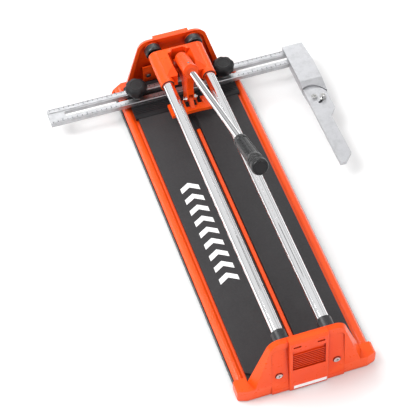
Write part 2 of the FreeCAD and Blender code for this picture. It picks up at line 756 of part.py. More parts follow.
def knob(side, sign):
    """Lobed clamp knob with a neck, on a fixed stud."""
    name = f"{side}_knob"
    body = new_body(name)
    head = new_sketch(body, name + "_head", "XY_Plane", "knob_head")
    circle(head, "0", "0", "knob_radius")
    pad(body, head, "knob_top - knob_head", name + "_head_pad")
    scallop = new_sketch(body, name + "_scallop", "XY_Plane", "knob_head - 1")
    circle(scallop, "knob_radius + 10.4", "0", "11.8")
    cut = pocket(body, scallop, "knob_top - knob_head + 2", name + "_scallop_cut", turned=True)
    lobes = body.newObject("PartDesign::PolarPattern", name + "_lobes")
    lobes.Originals = [cut]
    lobes.Axis = (head, ["N_Axis"])
    lobes.Angle = 360
    lobes.Occurrences = 8
    body.Tip = lobes
    doc.recompute()
    fillet(body, "3", name + "_head_round", lambda edge, spot: (
        abs(spot.z - cell("knob_top")) < 0.01))
    neck = new_sketch(body, name + "_neck", "XY_Plane", "knob_bottom")
    circle(neck, "0", "0", "11")
    pad(body, neck, "knob_head - knob_bottom + 1", name + "_neck_pad")
    flange = new_sketch(body, name + "_flange", "XY_Plane", "knob_bottom")
    circle(flange, "0", "0", "13.5")
    pad(body, flange, "3", name + "_flange_pad")
    bore = new_sketch(body, name + "_bore", "XY_Plane", "knob_bottom - 1")
    circle(bore, "0", "0", "stud_radius + fit")
    pocket(body, bore, "knob_top - knob_bottom - 4", name + "_bore_cut", turned=True)
    body.setExpression("Placement.Base.x", full(f"{sign} * knob_x"))
    body.setExpression("Placement.Base.y", "Sizes.knob_y")
    keep(body, name)


def knob_hardware():
    studs = []
    washers = []
    for side, sign in SIDES:
        x = f"{sign} * knob_x"
        head = box(f"{side}_stud_head", (f"{x} - 7", f"{x} + 7"), ("knob_y - 7", "knob_y + 7"),
                   ("table_bottom - 5", "table_bottom"))
        shank = rod(f"{side}_stud_shank", "stud_radius", "knob_top - 8 - table_bottom",
                    (x, "knob_y", "table_bottom"), "Z")
        studs.append(joined(f"{side}_stud", [head, shank]))
        disc = rod(f"{side}_washer_disc", "12", "1.2", (x, "knob_y", "ruler_top + 0.3"), "Z")
        hole = rod(f"{side}_washer_hole", "stud_radius + 0.1", "5",
                   (x, "knob_y", "ruler_top - 1"), "Z")
        washers.append(without(f"{side}_washer", disc, hole))
    group("knob_studs", studs)
    group("knob_washers", washers)


# ------------------------------------------------------------------- side stop
def side_stop_head():
    """Aluminium head that straddles the ruler, with a tongue under the arm."""
    body = new_body("side_stop_head")
    plan = new_sketch(body, "stop_plan", "XY_Plane", "arm_bottom - 4")
    outline(plan, [
        ("stop_inner", "ruler_back + 3.6"), ("stop_outer - 4", "ruler_back + 3.6"),
        ("stop_outer", "ruler_front - 8"), ("stop_outer", "swivel_y - 24"),
        ("stop_inner + 8", "swivel_y - 24"), ("stop_inner + 2", "swivel_y - 10"),
        ("stop_inner", "swivel_y + 24")])
    pad(body, plan, "stop_top - arm_bottom + 4", "stop_height")
    tunnel = new_sketch(body, "stop_tunnel", "YZ_Plane")
    rectangle(tunnel, "ruler_front - 0.4", "ruler_back + 0.4", "ruler_bottom - 9",
              "ruler_top + 0.4")
    pocket(body, tunnel, "800", "stop_tunnel_cut", both=True)
    ramp = new_sketch(body, "stop_ramp", "YZ_Plane")
    outline(ramp, [("swivel_y + 16", "arm_top + 0.2"), ("swivel_y + 42", "stop_top"),
                   ("swivel_y + 42", "stop_top + 9"), ("swivel_y - 60", "stop_top + 9"),
                   ("swivel_y - 60", "arm_top + 0.2")])
    pocket(body, ramp, "800", "stop_ramp_cut", both=True)
    # Room for the arm's round end, which turns on the tongue.
    round_end = new_sketch(body, "stop_round", "XY_Plane", "arm_bottom - 0.4")
    circle(round_end, "swivel_x", "swivel_y", "swivel_radius + 0.5")
    pocket(body, round_end, "30", "stop_round_cut", turned=True)
    front = new_sketch(body, "stop_front", "XY_Plane", "arm_bottom - 0.4")
    outline(front, [("stop_inner - 9", "swivel_y - 60"), ("stop_outer + 15", "swivel_y - 60"),
                    ("stop_outer + 15", "swivel_y - 3.8"), ("swivel_x + 20", "swivel_y + 23.2"),
                    ("swivel_x", "swivel_y"), ("stop_inner - 9", "swivel_y")])
    pocket(body, front, "30", "stop_front_cut", turned=True)
    holes = new_sketch(body, "stop_holes", "XY_Plane", "arm_bottom - 9")
    circle(holes, "swivel_x", "swivel_y", "2.5")
    circle(holes, "swivel_x + lock_distance * cos(lock_angle * 1 deg)",
           "swivel_y + lock_distance * sin(lock_angle * 1 deg)", "2.5")
    pocket(body, holes, "30", "stop_hole_cut", turned=True)
    clamp = new_sketch(body, "stop_clamp", "XZ_Plane", "-ruler_back - 9")
    circle(clamp, "250", "41.5", "2.5")
    pocket(body, clamp, "12", "stop_clamp_cut", turned=True)
    keep(body, "side_stop_head")


def side_stop_arm():
    """Swivelling arm with a round end, a pointer tooth and a locking slot."""
    body = new_body("side_stop_arm")
    plan = new_sketch(body, "arm_plan", "XY_Plane", "arm_bottom")
    outline(plan, [
        ("stop_inner + 1", "swivel_y"), ("stop_inner + 1", "27"), ("stop_inner + 13", "27"),
        ("stop_inner + 31", "46"), ("stop_inner + 30", "149"), ("stop_outer - 2", "168"),
        ("stop_outer - 2.5", "swivel_y")])
    pad(body, plan, "arm_top - arm_bottom", "arm_height")
    disc = new_sketch(body, "arm_disc", "XY_Plane", "arm_bottom")
    circle(disc, "swivel_x", "swivel_y", "swivel_radius - 0.4")
    pad(body, disc, "arm_top - arm_bottom", "arm_disc_pad")
    straight = new_sketch(body, "arm_straight", "XY_Plane", "arm_bottom - 5")
    rectangle(straight, "stop_inner - 40", "stop_inner + 1", "27", "swivel_y + 60")
    pocket(body, straight, "30", "arm_straight_cut", turned=True)
    pivot = new_sketch(body, "arm_pivot", "XY_Plane", "arm_bottom - 5")
    circle(pivot, "swivel_x", "swivel_y", "2.5 + fit")
    pocket(body, pivot, "30", "arm_pivot_cut", turned=True)
    # The slot is a row of holes on the lock screw's circle, from 0 to 45 degrees.
    slot = [rod(f"arm_slot_{step}", "2.9", "30", (
        f"swivel_x + lock_distance * cos((lock_angle - {step} * 3) * 1 deg)",
        f"swivel_y + lock_distance * sin((lock_angle - {step} * 3) * 1 deg)",
        "arm_bottom - 5"), "Z") for step in range(-1, 17)]
    keep(without("arm_slotted", body, joined("arm_slot", slot)), "side_stop_arm")


def stop_screws():
    pivot = [rod("pivot_screw_shank", "2.5", "arm_top - arm_bottom + 4.3",
                 ("swivel_x", "swivel_y", "arm_bottom - 4"), "Z"),
             rod("pivot_screw_head", "5.8", "3.2",
                 ("swivel_x", "swivel_y", "arm_top + 0.3"), "Z")]
    cross = [box("pivot_cross_one", ("swivel_x - 3.2", "swivel_x + 3.2"),
                 ("swivel_y - 0.6", "swivel_y + 0.6"), ("arm_top + 2", "arm_top + 5")),
             box("pivot_cross_two", ("swivel_x - 0.6", "swivel_x + 0.6"),
                 ("swivel_y - 3.2", "swivel_y + 3.2"), ("arm_top + 2", "arm_top + 5"))]
    keep(without("pivot_screw_cut", joined("pivot_screw_solid", pivot),
                 joined("pivot_cross", cross)), "stop_pivot_screw")
    x = "swivel_x + lock_distance * cos(lock_angle * 1 deg)"
    y = "swivel_y + lock_distance * sin(lock_angle * 1 deg)"
    lock = [rod("lock_shank", "2.5", "arm_top - arm_bottom + 4.3", (x, y, "arm_bottom - 4"), "Z"),
            rod("lock_washer", "6.6", "1.2", (x, y, "arm_top + 0.3"), "Z"),
            rod("lock_head", "5.2", "8", (x, y, "arm_top + 0.3"), "Z")]
    socket = hexagon("lock_socket", "3", "6", (x, y, "arm_top + 4.5"), "Z")
    keep(without("lock_cut", joined("lock_solid", lock), socket), "stop_lock_screw")
    keep(rod("set_screw_rod", "2.5", "3", ("250", "ruler_back + 3.5", "41.5"), "-Y"),
         "stop_set_screw")


# -------------------------------------------------------------------- carriage
def carriage_casting():
    """Two sleeves on the rails, joined by a faceted hood with a slot."""
    body = new_body("carriage_casting")
    hood = new_sketch(body, "hood_section", "XZ_Plane", "-car_back")
    outline(hood, mirrored([
        ("rail_x - 2", "rail_z - 13"), ("rail_x + 8", "rail_z + 9"),
        ("rail_x - 10", "rail_z + 19"), ("20", "car_top")]))
    pad(body, hood, "car_back - car_front - 9", "hood_length")
    fillet(body, "3", "hood_crests", lambda edge, middle: (
        along(edge, "Y") and middle.z > cell("rail_z") + 5))
    slot = new_sketch(body, "hood_slot", "XY_Plane", "rail_z - 30")
    outline(slot, mirrored([("car_slot_half + 9", "car_front - 5"),
                            ("car_slot_half", "car_front + 22"),
                            ("car_slot_half", "car_slot_back - 4"),
                            ("car_slot_half - 4", "car_slot_back")]))
    pocket(body, slot, "90", "hood_slot_cut", turned=True)
    flare = new_sketch(body, "hood_flare", "XZ_Plane", "-car_slot_back + 7")
    outline(flare, mirrored([("car_slot_half - 1", "rail_z + 6"), ("car_slot_half + 9", "car_top + 1")]))
    pocket(body, flare, "90", "hood_flare_cut", turned=True)
    # The hood falls away towards the front and the back.
    slope = new_sketch(body, "hood_slopes", "YZ_Plane")
    outline(slope, [("car_front - 1", "rail_z + 7"), ("car_front + 34", "car_top + 1"),
                    ("car_front - 1", "car_top + 1")])
    outline(slope, [("car_back + 1", "car_top - 11"), ("car_back + 1", "car_top + 1"),
                    ("car_back - 12", "car_top + 1")])
    pocket(body, slope, "200", "hood_slope_cut", both=True)
    under = new_sketch(body, "hood_under", "XZ_Plane", "-car_back - 1")
    outline(under, mirrored([("20", "rail_z - 20"), ("20", "rail_z - 9"),
                             ("14", "rail_z + 14")]))
    pocket(body, under, "car_back - car_slot_back + 14", "hood_under_cut", turned=True)
    sleeves = new_sketch(body, "sleeves", "XZ_Plane", "-car_back")
    for sign in ("", "-"):
        circle(sleeves, f"{sign}rail_x", "rail_z", "sleeve_radius")
    pad(body, sleeves, "car_back - car_front", "sleeve_length")
    bores = new_sketch(body, "sleeve_bores", "XZ_Plane", "-car_back - 1")
    for sign in ("", "-"):
        circle(bores, f"{sign}rail_x", "rail_z", "bush_radius")
    pocket(body, bores, "car_back - car_front + 2", "sleeve_bore_cut", turned=True)
    pin = new_sketch(body, "pin_hole", "YZ_Plane")
    circle(pin, "pivot_y", "pivot_z", "pivot_radius")
    pocket(body, pin, "58", "pin_hole_cut", both=True)
    keep(body, "carriage_casting")


def slide_bushes(side, sign):
    bushes = []
    for place_name, start in (("front", "car_front"), ("rear", "car_back - bush_length")):
        tag = f"{side}_{place_name}_bush"
        tube = rod(tag + "_outer", "bush_radius", "bush_length",
                   (f"{sign} * rail_x", start, "rail_z"), "Y")
        hole = rod(tag + "_bore", "rail_radius + fit", "bush_length + 2",
                   (f"{sign} * rail_x", start + " - 1", "rail_z"), "Y")
        bushes.append(without(tag, tube, hole))
    group(f"{side}_slide_bushes", bushes)


def lever_pivot_pin():
    keep(rod("pivot_pin_rod", "pivot_radius", "56", ("-28", "pivot_y", "pivot_z"), "X"),
         "lever_pivot_pin")


# ----------------------------------------------------------------------- lever
def on_lever(distance):
    """Point on the handle's axis, from the socket's mouth outwards."""
    return ("0", f"socket_y - ({distance}) * cos(lever_pitch * 1 deg)",
            f"socket_z + ({distance}) * sin(lever_pitch * 1 deg)")


def along_lever(item, distance):
    """Set an object that is built on +Z along the handle's axis."""
    place(item, on_lever(distance), (0, 0, 90 - cell("lever_pitch")))


def lever_rod(name, radius, start, end):
    item = doc.addObject("Part::Cylinder", name)
    item.setExpression("Radius", full(radius))
    item.setExpression("Height", full(f"({end}) - ({start})"))
    along_lever(item, start)
    return item


def lever_casting():
    """Handle socket, pivot boss and forked arm in one casting."""
    web = new_body("lever_web")
    side_view = new_sketch(web, "web_view", "YZ_Plane")
    outline(side_view, [
        ("pivot_y + 6", "pivot_z - 7"), ("pivot_y - 4", "pivot_z - 9.5"),
        ("wheel_y + 16", "pivot_z - 24"), ("wheel_y + 7", "wheel_z + 9"),
        ("wheel_y + 6", "wheel_z - 2.5"), ("wheel_y - 4", "wheel_z - 5"),
        ("foot_pin_y - 4.5", "foot_pin_z - 4"), ("foot_pin_y - 6", "foot_pin_z + 4"),
        ("foot_pin_y - 3", "foot_pin_z + 30"), ("socket_y + 3", "socket_z - 10"),
        ("socket_y + 8", "socket_z - 4"), ("socket_y + 66", "socket_z - 27"),
        ("pivot_y + 8", "pivot_z + 8")])
    pad(web, side_view, "2 * arm_half", "web_width", both=True)
    fork = new_sketch(web, "fork_view", "YZ_Plane")
    outline(fork, [("wheel_y - 60", "wheel_z - 30"), ("wheel_y + 60", "wheel_z - 30"),
                   ("wheel_y + 60", "wheel_z + 8"), ("wheel_y + 13", "wheel_z + 14"),
                   ("foot_pin_y + 4", "foot_pin_z + 13"), ("wheel_y - 60", "foot_pin_z + 13")])
    pocket(web, fork, "2 * fork_half", "fork_gap", both=True)
    fillet(web, "2.5", "web_edges", lambda edge, middle: (
        abs(abs(middle.x) - cell("arm_half")) < 0.01 and middle.z > cell("foot_pin_z") + 16
        and middle.y < cell("socket_y") + 16))
    parts = [web,
             rod("lever_boss_rod", "lever_boss", "2 * lever_half",
                 ("-lever_half", "pivot_y", "pivot_z"), "X"),
             lever_rod("socket_rod", "socket_radius", "-socket_length", "0"),
             lever_rod("socket_lip", "socket_radius + 1", "-9", "-1.5")]
    dome = doc.addObject("Part::Sphere", "socket_dome")
    dome.setExpression("Radius", full("socket_radius"))
    place(dome, on_lever("-socket_length"))
    parts.append(dome)
    tools = [lever_rod("socket_bore", "tube_radius", "-tube_start", "5"),
             rod("lever_pin_hole", "pivot_radius + fit", "40",
                 ("-20", "pivot_y", "pivot_z"), "X"),
             rod("wheel_axle_hole", "axle_radius", "40", ("-20", "wheel_y", "wheel_z"), "X"),
             rod("foot_pin_hole", "foot_pin_radius", "40",
                 ("-20", "foot_pin_y", "foot_pin_z"), "X")]
    grub = rod("socket_grub_hole", "2.5", "20", on_lever("-14"), "Z")
    grub.Placement.Rotation = FreeCAD.Rotation(0, 0, -cell("lever_pitch"))
    tools.append(grub)
    keep(without("lever_cut", joined("lever_solid", parts), joined("lever_tools", tools)),
         "lever_casting")
    screw = rod("socket_screw_rod", "2.5", "socket_radius - tube_radius + 0.4",
                on_lever("-14"), "Z")
    screw.Placement.Rotation = FreeCAD.Rotation(0, 0, -cell("lever_pitch"))
    screw.setExpression("Placement.Base.y", full(
        on_lever("-14")[1] + " + tube_radius * sin(lever_pitch * 1 deg)"))
    screw.setExpression("Placement.Base.z", full(
        on_lever("-14")[2] + " + tube_radius * cos(lever_pitch * 1 deg)"))
    keep(screw, "socket_screw")


def handle():
    tube = lever_rod("tube_outer", "tube_radius", "-tube_start", "tube_reach")
    hole = lever_rod("tube_hole", "tube_radius - 1.6", "-tube_start - 1", "tube_reach + 1")
    keep(without("tube_cut", tube, hole), "handle_tube")

    body = new_body("handle_grip")
    profile = new_sketch(body, "grip_profile", "XZ_Plane")
    span = "(grip_end - grip_start)"
    outline(profile, [
        ("tube_radius", "0"), ("11.5", "0"), ("13", "2"), ("13.2", "10"),
        ("13.6", span + " - 34"), ("15", span + " - 28"),
        ("15", span + " - 25"), ("14", span + " - 24"), ("14", span + " - 21"),
        ("15.2", span + " - 20"), ("15.2", span + " - 17"), ("14.2", span + " - 16"),
        ("14.2", span + " - 13"), ("15.6", span + " - 12"), ("16", span + " - 4"),
        ("14", span), ("11.3", span), ("11.3", span + " - 3"),
        ("tube_radius", span + " - 3")])
    revolve(body, profile, "V_Axis", "grip_turned")
    flats = new_sketch(body, "grip_flats", "XZ_Plane")
    for sign in ("", "-"):
        rectangle(flats, f"{sign}12.2", f"{sign}20", "12", span + " - 38")
    pocket(body, flats, "13", "grip_flat_cut", both=True)
    along_lever(body, "grip_start")
    keep(body, "handle_grip")
    cap = lever_rod("cap_disc", "11.2", "grip_end - 3", "grip_end - 0.6")
    keep(cap, "grip_end_cap")


def wheel_and_axle():
    axle = [rod("axle_shank", "axle_radius", "21", ("-10.5", "wheel_y", "wheel_z"), "X"),
            rod("axle_head", "4", "2.6", ("-10.2", "wheel_y", "wheel_z"), "X")]
    keep(joined("axle_solid", axle), "wheel_axle")
    nut = hexagon("axle_nut_blank", "4.2", "2.8", ("arm_half", "wheel_y", "wheel_z"), "X")
    hole = rod("axle_nut_hole", "axle_radius", "20", ("0", "wheel_y", "wheel_z"), "X")
    keep(without("axle_nut_cut", nut, hole), "wheel_axle_nut")

    body = new_body("scoring_wheel")
    profile = new_sketch(body, "wheel_profile", "XZ_Plane")
    outline(profile, mirrored([
        ("3.2", "axle_radius + fit"), ("3.2", "4.6"), ("1.2", "5.2"),
        ("1.2", "wheel_radius - 1.6"), ("0.1", "wheel_radius")]))
    revolve(body, profile, "H_Axis", "wheel_turned")
    body.setExpression("Placement.Base.y", "Sizes.wheel_y")
    body.setExpression("Placement.Base.z", "Sizes.wheel_z")
    keep(body, "scoring_wheel")


def foot_pin():
    solid = [rod("foot_pin_shank", "foot_pin_radius", "30",
                 ("-15", "foot_pin_y", "foot_pin_z"), "X"),
             rod("foot_pin_head", "5.6", "4", ("-arm_half - 4", "foot_pin_y", "foot_pin_z"), "X")]
    keep(joined("foot_pin_solid", solid), "foot_pin")
    nut = hexagon("foot_nut_blank", "6", "4.4", ("arm_half", "foot_pin_y", "foot_pin_z"), "X")
    hole = rod("foot_nut_hole", "foot_pin_radius", "20", ("0", "foot_pin_y", "foot_pin_z"), "X")
    keep(without("foot_nut_cut", nut, hole), "foot_pin_nut")


def breaker_foot():
    """Winged foot that presses the tile down on both sides of the rib."""
    body = new_body("breaker_foot")
    front = new_sketch(body, "foot_view", "XZ_Plane", "-foot_back")
    outline(front, mirrored([
        ("9", "foot_bottom + 1.6"), ("foot_half", "foot_bottom"),
        ("foot_half", "foot_bottom + 6"), ("10", "foot_top + 1")]))
    pad(body, front, "foot_back - foot_front", "foot_depth")
    notch = new_sketch(body, "foot_notch", "XY_Plane", "foot_bottom - 20")
    outline(notch, mirrored([("11.4", "foot_front + 12"), ("11.4", "foot_back + 9")]))
    pocket(body, notch, "60", "foot_notch_cut", turned=True)
    windows = new_sketch(body, "foot_windows", "XY_Plane", "foot_bottom - 20")
    for sign in ("", "-"):
        outline(windows, [(f"{sign}14", "foot_front + 17"), (f"{sign}24", "foot_front + 17"),
                          (f"{sign}22", "foot_back + 9"), (f"{sign}14", "foot_back + 9")])
    pocket(body, windows, "60", "foot_window_cut", turned=True)
    pockets = new_sketch(body, "foot_pockets", "XZ_Plane", "-foot_front - 5")
    for sign in ("", "-"):
        for start in ("8", "17", "26", "35"):
            rectangle(pockets, f"{sign}{start}", f"{sign}({start} + 5.5)",
                      "foot_bottom + 2.2", "foot_bottom + 5.2")
    pocket(body, pockets, "12", "foot_pocket_cut", turned=False)
    tongue = new_sketch(body, "foot_tongue", "YZ_Plane")
    outline(tongue, [
        ("foot_front + 1", "foot_bottom + 3"), ("foot_front + 12", "foot_bottom + 3"),
        ("foot_pin_y + 4", "foot_pin_z - 5"), ("foot_pin_y + 5", "foot_pin_z + 2"),
        ("foot_pin_y + 1", "foot_pin_z + 5.5"), ("foot_pin_y - 5", "foot_pin_z + 3"),
        ("foot_front + 5", "foot_top + 2")])
    pad(body, tongue, "2 * fork_half - 1.2", "foot_tongue_pad", both=True)
    hole = new_sketch(body, "foot_hole", "YZ_Plane")
    circle(hole, "foot_pin_y", "foot_pin_z", "foot_pin_radius + fit")
    pocket(body, hole, "60", "foot_hole_cut", both=True)
    keep(body, "breaker_foot")


# ---------------------------------------------------------------------- build
end_casting("front_end_casting", False)
end_casting("rear_end_casting", True)
base_tray()
for side_name, side_sign in SIDES:
    side_rail(f"{side_name}_side_rail", side_sign)
    table_and_pad(side_name, side_sign)
    guide_rail(side_name, side_sign)
    bumper(f"front_{side_name}_bumper", side_sign, -1, SLEEVE)
    bumper(f"rear_{side_name}_bumper", side_sign, 1, CUP)
    knob(side_name, side_sign)
    slide_bushes(side_name, side_sign)
breaking_bar()
rear_rest_plate()
bracket("front_bracket", -1)
bracket("rear_bracket", 1)
end_fasteners()
tray_screws()
rubber_feet()
front_label()
ruler_bar()
knob_hardware()
side_stop_head()
side_stop_arm()
stop_screws()
carriage_casting()
lever_pivot_pin()
lever_casting()
handle()
wheel_and_axle()
foot_pin()
breaker_foot()
doc.recompute()

for item in doc.Objects:
    if "Invalid" in item.State or "Error" in item.State:
        raise RuntimeError(f"{item.Name} failed: {item.State}")
for name, item in nodes:
    shape = item.Shape
    if shape.isNull() or not shape.isValid():
        raise RuntimeError(name + " has no valid shape")
for name, item in nodes:
    item.Shape.exportStep(f"parts/{name}.step")
print(len(nodes), "nodes written")
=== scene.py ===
"""Manual tile cutter: looks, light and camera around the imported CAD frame."""
import json
import math

import bmesh
import bpy
from mathutils import Matrix, Vector


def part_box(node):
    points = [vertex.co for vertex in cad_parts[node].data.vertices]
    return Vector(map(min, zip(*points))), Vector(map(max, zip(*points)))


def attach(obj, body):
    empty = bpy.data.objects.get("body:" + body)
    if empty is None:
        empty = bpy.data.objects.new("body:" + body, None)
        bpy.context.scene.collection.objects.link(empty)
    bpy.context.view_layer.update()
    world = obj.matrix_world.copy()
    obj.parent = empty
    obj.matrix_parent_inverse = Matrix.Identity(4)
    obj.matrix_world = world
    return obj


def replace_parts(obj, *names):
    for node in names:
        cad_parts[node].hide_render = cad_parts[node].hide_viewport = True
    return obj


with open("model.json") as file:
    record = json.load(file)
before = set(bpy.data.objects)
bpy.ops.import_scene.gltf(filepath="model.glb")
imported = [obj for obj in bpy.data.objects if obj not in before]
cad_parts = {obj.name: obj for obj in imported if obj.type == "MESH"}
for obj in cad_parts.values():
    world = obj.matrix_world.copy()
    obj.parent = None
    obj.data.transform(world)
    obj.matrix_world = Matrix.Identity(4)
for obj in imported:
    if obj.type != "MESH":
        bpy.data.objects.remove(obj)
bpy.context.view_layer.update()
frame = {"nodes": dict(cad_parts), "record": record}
nodes = frame["nodes"]
MM = 0.001

# ------------------------------------------------------------------ colours
ORANGE = (0.97, 0.082, 0.003, 1)
ORANGE_DEEP = (0.88, 0.060, 0.002, 1)
# Painted highlight: the lighter colour given to sharp edges.
ORANGE_HIGHLIGHT = (1.0, 0.115, 0.012, 1)
# Painted shade: the colour that the paint is darkened to in grooves and inner corners.
ORANGE_PAINTED_SHADE = (0.42, 0.010, 0.001, 1)
BLACK = (0.008, 0.008, 0.009, 1)
CHARCOAL = (0.021, 0.020, 0.021, 1)
GRIP_GREY = (0.006, 0.0062, 0.007, 1)
STEEL = (0.66, 0.66, 0.65, 1)
CHROME = (0.97, 0.972, 0.985, 1)
RULER_GREY = (0.52, 0.525, 0.54, 1)
PLATE_GREY = (0.05, 0.051, 0.054, 1)
CAST_GREY = (0.56, 0.565, 0.585, 1)
WHITE = (0.88, 0.88, 0.87, 1)
INK = (0.020, 0.020, 0.022, 1)
FLOOR_WHITE = (0.9, 0.9, 0.9, 1)


def shade(colour, factor):
    """The same colour, lighter or darker."""
    return tuple(min(1.0, part * factor) for part in colour[:3]) + (1,)


# --------------------------------------------------------------- materials
# Reach of the painted shade in grooves.
GROOVE_REACH = 12 * MM        # how far a groove looks for its own sides


class Nodes:
    """Adds and joins the shader nodes of one material."""

    def __init__(self, name):
        self.material = bpy.data.materials.new(name)
        self.material.use_nodes = True
        self.tree = self.material.node_tree
        self.shader = self.tree.nodes["Principled BSDF"]
        self.place = self.add("ShaderNodeTexCoord").outputs["Object"]

    def add(self, kind, **values):
        node = self.tree.nodes.new(kind)
        for key, value in values.items():
            setattr(node, key, value)
        return node

    def join(self, source, target):
        self.tree.links.new(source, target)

    def feed(self, source, socket_name):
        """Join an output to a socket of the shader."""
        self.join(source, self.shader.inputs[socket_name])

    def set(self, **values):
        """Set sockets of the shader; an underscore stands for a space."""
        for key, value in values.items():
            self.shader.inputs[key.replace("_", " ")].default_value = value

    def stretched(self, scale):
        """Object coordinates, scaled per axis."""
        mapping = self.add("ShaderNodeMapping")
        mapping.inputs["Scale"].default_value = scale
        self.join(self.place, mapping.inputs["Vector"])
        return mapping.outputs["Vector"]

    def noise(self, scale, detail=3.0, rough=0.55, place=None):
        """Noise with about scale features to the metre."""
        node = self.add("ShaderNodeTexNoise")
        node.inputs["Scale"].default_value = scale
        node.inputs["Detail"].default_value = detail
        node.inputs["Roughness"].default_value = rough
        self.join(place or self.place, node.inputs["Vector"])
        return node.outputs["Fac"]

    def span(self, source, low, high, start=0.3, stop=0.7):
        """Source from start..stop mapped to low..high."""
        node = self.add("ShaderNodeMapRange")
        limits = {"From Min": start, "From Max": stop, "To Min": low, "To Max": high}
        for key, value in limits.items():
            node.inputs[key].default_value = value
        self.join(source, node.inputs["Value"])
        return node.outputs["Result"]

    def blend(self, factor, first, second):
        """Mix of two colours; each is a colour or an output."""
        node = self.add("ShaderNodeMix", data_type="RGBA")
        self.join(factor, node.inputs["Factor"])
        for socket, value in ((node.inputs[6], first), (node.inputs[7], second)):
            if isinstance(value, tuple):
                socket.default_value = value
            else:
                self.join(value, socket)
        return node.outputs[2]

    def bump(self, height, strength, distance):
        node = self.add("ShaderNodeBump")
        node.inputs["Strength"].default_value = strength
        node.inputs["Distance"].default_value = distance
        self.join(height, node.inputs["Height"])
        self.feed(node.outputs["Normal"], "Normal")

    def openness(self):
        """1 in the open, falling to 0 in grooves and inner corners, where the paint gets its
        painted shade.
        """
        node = self.add("ShaderNodeAmbientOcclusion", samples=8)
        node.inputs["Distance"].default_value = GROOVE_REACH
        return self.span(node.outputs["AO"], 0.0, 1.0, start=0.35, stop=0.9)

    def edges(self, most):
        """From 0 on flat faces to most on sharp outer edges."""
        geometry = self.add("ShaderNodeNewGeometry")
        return self.span(geometry.outputs["Pointiness"], 0.0, most, start=0.505, stop=0.56)


def paint(name, colour, deep, edge, groove_shade, rough=0.3, coat=0.12):
    """Gloss paint: slow colour drift, painted shade in grooves, a painted highlight on edges,
    orange peel.
    """
    m = Nodes(name)
    tint = m.blend(m.span(m.noise(9.0, 2.0), 0.0, 1.0), colour, deep)
    # Painted shade: the colour darkens in grooves and inner corners.
    tint = m.blend(m.openness(), groove_shade, tint)
    # Painted highlight: the colour lightens on sharp outer edges.
    m.feed(m.blend(m.edges(0.4), tint, edge), "Base Color")
    m.feed(m.span(m.noise(160.0, 4.0), rough - 0.04, rough + 0.06), "Roughness")
    m.bump(m.noise(450.0, 2.0), 0.10, 0.1 * MM)
    m.set(Coat_Weight=coat, Coat_Roughness=0.12, Specular_IOR_Level=0.25)
    return m.material


def metal(name, colour, rough, grain, strength=0.12, metallic=1.0, mottle=0.8):
    """Metal with a brushed grain: grain is the noise stretch along X, Y, Z."""
    m = Nodes(name)
    streak = m.noise(1.0, 5.0, 0.6, m.stretched(grain))
    spots = m.noise(70.0, 5.0, 0.7)
    tint = m.blend(m.span(streak, 0.0, 1.0), shade(colour, 0.86), colour)
    tint = m.blend(m.span(spots, 0.0, 0.6, 0.45), tint, shade(colour, mottle))
    m.feed(tint, "Base Color")
    m.feed(m.span(streak, rough * 0.75, rough * 1.35), "Roughness")
    m.bump(streak, strength, 0.08 * MM)
    m.set(Metallic=metallic)
    return m.material


def rubber(name, colour, rough=0.62, grain=1500.0, strength=0.35, gloss=0.3):
    """Moulded rubber or plastic with a fine grain, a paler random dusty tone and a painted
    highlight on its edges.
    """
    m = Nodes(name)
    tint = m.blend(m.span(m.noise(22.0, 4.0), 0.0, 1.0), colour, shade(colour, 1.5))
    # Painted highlight: the colour lightens to 2.4 times on sharp outer edges.
    m.feed(m.blend(m.edges(0.5), tint, shade(colour, 2.4)), "Base Color")
    m.feed(m.span(m.noise(300.0, 3.0), rough - 0.08, rough + 0.1), "Roughness")
    m.bump(m.noise(grain, 3.0), strength, 0.15 * MM)
    m.set(Specular_IOR_Level=gloss)
    return m.material


ORANGE_SET = (ORANGE, ORANGE_DEEP, ORANGE_HIGHLIGHT, ORANGE_PAINTED_SHADE)
# Black paint: its third colour is a painted highlight on edges; the last, for grooves, is plain
# black.
BLACK_SET = (BLACK, shade(BLACK, 1.6), shade(BLACK, 2), BLACK)

# One look for each material slot of the record.
LOOKS = {
    "orange_cast": paint("paint_orange_cast", *ORANGE_SET),
    "orange_steel": paint("paint_orange_steel", *ORANGE_SET, rough=0.22, coat=0.5),
    "black_steel": paint("paint_black", *BLACK_SET, rough=0.38),
    "zinc_steel": metal("zinc_plate", STEEL, 0.16, (400, 400, 400), 0.05),
    "pad_rubber": rubber("pad_rubber", CHARCOAL, 0.7),
    "black_plastic": rubber("black_plastic", BLACK, 0.5, 900.0, 0.3),
    "chrome_steel": metal("chrome", CHROME, 0.08, (900, 4, 900), 0.01, mottle=0.95),
    "black_rubber": rubber("black_rubber", BLACK, 0.34, 900.0, 0.15, gloss=0.6),
    "white_label": rubber("white_label", WHITE, 0.35, 500.0, 0.05),
    "ruler_aluminium": metal("ruler_aluminium", RULER_GREY, 0.42, (6, 900, 900), mottle=0.6),
    "plate_aluminium": metal("plate_aluminium", PLATE_GREY, 0.4, (60, 60, 60)),
    "grey_cast": metal("cast_aluminium", CAST_GREY, 0.45, (420, 420, 420), 0.3, 0.75, 0.66),
    "bush_plastic": rubber("bush_plastic", BLACK, 0.45),
    "grip_rubber": rubber("grip_rubber", GRIP_GREY, 0.3, 900.0, 0.15, gloss=0.4),
    "carbide_steel": metal("carbide", STEEL, 0.2, (300, 300, 300)),
}
INK_LOOK = rubber("scale_ink", INK, 0.5, 700.0, 0.1)

# Edge rounding of the CAD nodes, by slot.
EDGE_ROUND = {"orange_cast": 1.1 * MM, "black_rubber": 0.8 * MM, "pad_rubber": 0.8 * MM}
EDGE_ROUND_OTHER = 0.4 * MM


